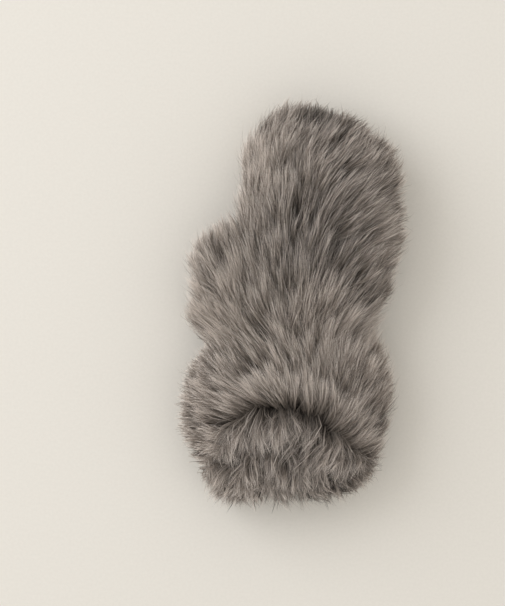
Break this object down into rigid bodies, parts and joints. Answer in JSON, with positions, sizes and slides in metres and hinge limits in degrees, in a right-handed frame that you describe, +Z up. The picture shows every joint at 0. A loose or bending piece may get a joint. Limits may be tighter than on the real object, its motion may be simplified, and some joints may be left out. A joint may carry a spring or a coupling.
{
  "type": "fur mitten",
  "caption": "Long-haired fur mitten for the right hand, lying palm down, with a hollow hand and thumb and a flared cuff that is open at its mouth.",
  "frame": {"origin": "on the flat resting face below the middle of the hand, under the palm", "axes": "+Y from the cuff towards the fingertips, +X towards the little finger's side, +Z up, out of the back of the hand"},
  "size_m": [0.1409, 0.2649, 0.0521],
  "materials": {
    "back_fur": "long grey-taupe fur, darker at the roots and lighter at the tips",
    "palm_fur": "the same fur, shorter and pressed flat where the palm lies",
    "thumb_fur": "the same fur, a little lighter",
    "cuff_fur": "the same fur, hanging down to the hem, a little darker"
  },
  "bodies": {
    "root": {"hand_back": "back_fur", "hand_palm": "palm_fur", "thumb": "thumb_fur", "cuff": "cuff_fur"}
  },
  "joints": []
}
